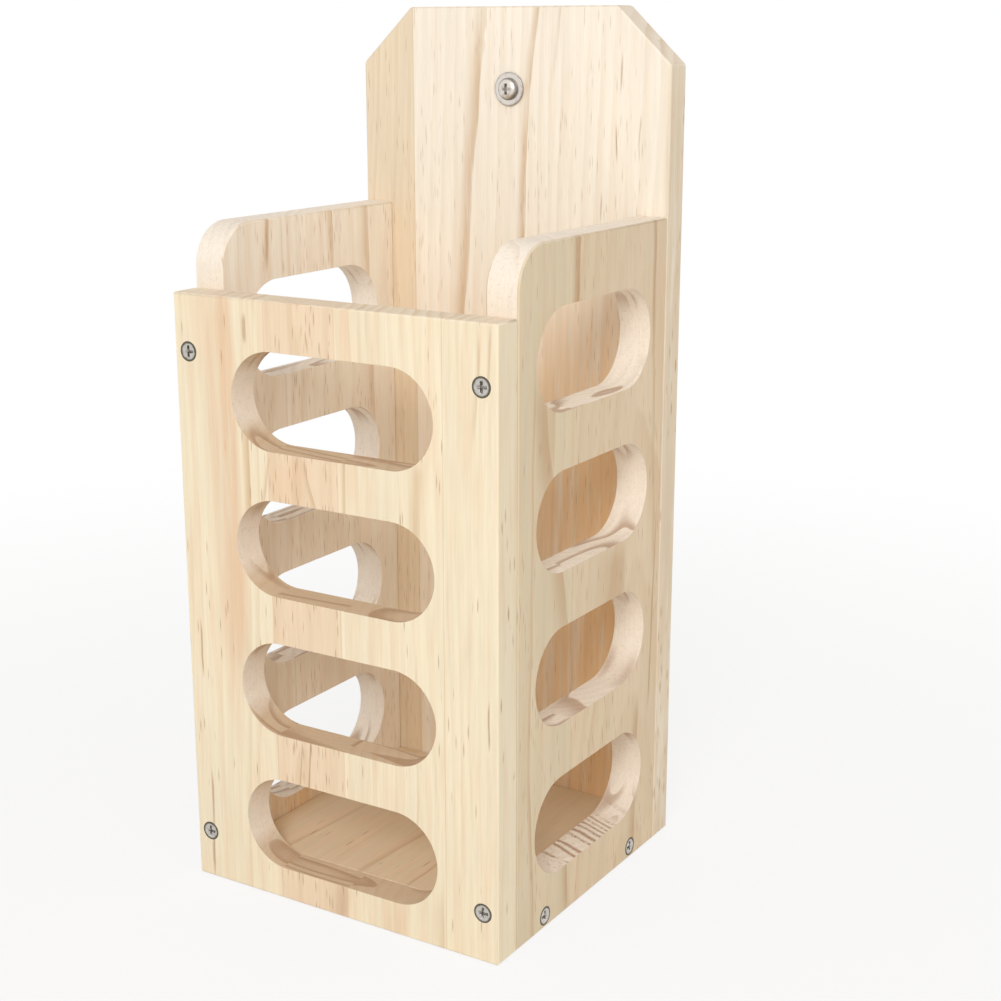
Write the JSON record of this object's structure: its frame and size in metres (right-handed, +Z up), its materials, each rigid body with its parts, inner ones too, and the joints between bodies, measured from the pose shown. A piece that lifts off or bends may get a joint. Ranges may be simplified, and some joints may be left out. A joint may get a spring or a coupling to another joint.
{
  "type": "hay feeder box",
  "caption": "Tall open-topped pine hay feeder box with round-ended feeding slots in its front and sides, and a taller back board with a bolt and wing nut that clamp it to a cage.",
  "frame": {"origin": "middle of the box's footprint, on its underside", "axes": "+Z up, -Y towards the front panel, +X to the right as seen from the front"},
  "size_m": [0.13, 0.1419, 0.31],
  "materials": {
    "pine_boards": "planed and sanded, unvarnished pine",
    "zinc_screws": "zinc-plated steel, cross recess",
    "nickel_bolt": "nickel-plated steel, satin"
  },
  "bodies": {
    "box": {"front_panel": "pine_boards", "left_side_panel": "pine_boards", "right_side_panel": "pine_boards", "back_panel": "pine_boards", "floor_panel": "pine_boards", "front_screw_lower_left": "zinc_screws", "front_screw_lower_right": "zinc_screws", "front_screw_upper_left": "zinc_screws", "front_screw_upper_right": "zinc_screws", "back_screw_lower_left": "zinc_screws", "back_screw_lower_right": "zinc_screws", "back_screw_upper_left": "zinc_screws", "back_screw_upper_right": "zinc_screws", "left_screw_front": "zinc_screws", "left_screw_rear": "zinc_screws", "right_screw_front": "zinc_screws", "right_screw_rear": "zinc_screws"},
    "bolt": {"mounting_bolt": "nickel_bolt", "front_washer": "nickel_bolt"},
    "rear_washer": {"rear_washer": "nickel_bolt"},
    "wing_nut": {"wing_nut": "nickel_bolt"}
  },
  "joints": [
    {"name": "bolt_turn", "type": "hinge", "parent": "box", "child": "bolt", "pos_m": [0, 0.0625, 0.281], "axis": [0, 1, 0], "continuous": true},
    {"name": "nut_travel", "type": "slide", "parent": "bolt", "child": "rear_washer", "axis": [0, 1, 0], "range_m": [0, 0.0112]},
    {"name": "nut_spin", "type": "hinge", "parent": "rear_washer", "child": "wing_nut", "pos_m": [0, 0.0625, 0.281], "axis": [0, 1, 0], "range_deg": [0, 5760]}
  ],
  "couplings": [
    {"joint": "nut_spin", "follows": "nut_travel", "rad_per_m": 8976}
  ]
}
